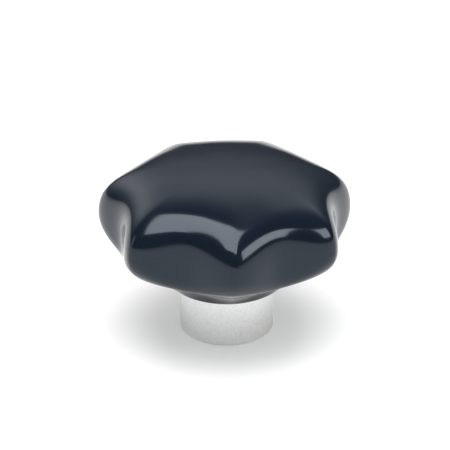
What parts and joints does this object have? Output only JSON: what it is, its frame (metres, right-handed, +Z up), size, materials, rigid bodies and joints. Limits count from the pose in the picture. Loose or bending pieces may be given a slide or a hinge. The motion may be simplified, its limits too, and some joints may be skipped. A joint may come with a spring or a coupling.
{
  "type": "star knob",
  "caption": "Black lobed star knob with a domed top and a plated steel bush, tapped from below.",
  "frame": {"origin": "centre of the bush's lower face, where the knob seats on the part it clamps", "axes": "+Z up along the thread axis, out through the domed top; one lobe points along -Y"},
  "size_m": [0.0492, 0.0481, 0.034],
  "materials": {
    "body": "gloss",
    "bush": "matte"
  },
  "bodies": {
    "root": {"knob_body": "body", "bush": "bush"}
  },
  "joints": []
}
